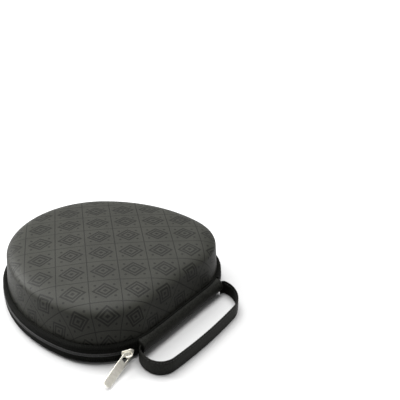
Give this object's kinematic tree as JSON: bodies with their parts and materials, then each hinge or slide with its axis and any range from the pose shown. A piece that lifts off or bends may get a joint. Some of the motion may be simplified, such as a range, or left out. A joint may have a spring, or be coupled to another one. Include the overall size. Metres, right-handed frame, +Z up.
{
  "type": "headphone carrying case",
  "caption": "Hard-shell zippered headphone case: shallow tray, domed lid on a leather spine, wrist loop, accessory tray and cable keeper inside.",
  "frame": {"origin": "on the flat underside of the tray, midway across and midway between the rim at the spine and the rim at the front", "axes": "+X along the spine towards the end where the slider is parked, +Y from the narrow front to the spine, +Z up out of the lid"},
  "size_m": [0.2063, 0.2291, 0.057],
  "materials": {
    "cover_leather": "patterned coated leather, olive-grey, fine grain, satin",
    "foam": "moulded closed-cell foam, hidden, black",
    "lining": "fine woven lining, black, matt",
    "binding": "grosgrain binding, black, fine ribs across",
    "zipper_tape": "woven zipper tape, black, matt",
    "zipper_coil": "nylon coil, black, fine teeth",
    "strap_leather": "grained leather, black, satin, stitched edges",
    "tray": "moulded fabric over foam, blue-black, matt",
    "metal": "satin nickel, warm grey"
  },
  "bodies": {
    "base": {"base_cover": "cover_leather", "base_shell": "foam", "base_lining": "lining", "base_binding": "binding", "base_edge_foam": "foam", "base_zipper_tape": "zipper_tape", "base_zipper_coil": "zipper_coil", "zipper_stops": "metal", "spine_cover": "strap_leather", "spine_lining": "lining"},
    "lid": {"lid_cover": "cover_leather", "lid_shell": "foam", "lid_lining": "lining", "lid_binding": "binding", "lid_edge_foam": "foam", "lid_zipper_tape": "zipper_tape", "lid_zipper_coil": "zipper_coil", "accessory_tray": "tray", "cable_keeper": "strap_leather"},
    "slider": {"slider_body": "metal", "slider_bail": "metal"},
    "pull": {"pull_tab": "metal"},
    "handle": {"handle_outer": "strap_leather", "handle_inner": "strap_leather"}
  },
  "joints": [
    {"name": "lid_hinge", "type": "hinge", "parent": "base", "child": "lid", "pos_m": [0, 0.09906, 0.01], "axis": [-1, 0, 0], "range_deg": [0, 114], "deforming": ["spine_cover", "spine_lining", "handle_outer", "handle_inner"]},
    {"name": "zipper_travel", "type": "hinge", "parent": "base", "child": "slider", "pos_m": [0.0405, 0.03726, 0.01], "axis": [0, 0, -1], "range_deg": [0, 46]},
    {"name": "pull_swing", "type": "hinge", "parent": "slider", "child": "pull", "pos_m": [0.07158, 0.09379, 0.0099], "axis": [0, 0, 1], "range_deg": [0, 30]},
    {"name": "handle_swing", "type": "hinge", "parent": "base", "child": "handle", "pos_m": [0, 0.09776, 0.014], "axis": [-1, 0, 0], "range_deg": [-80, 0]}
  ]
}
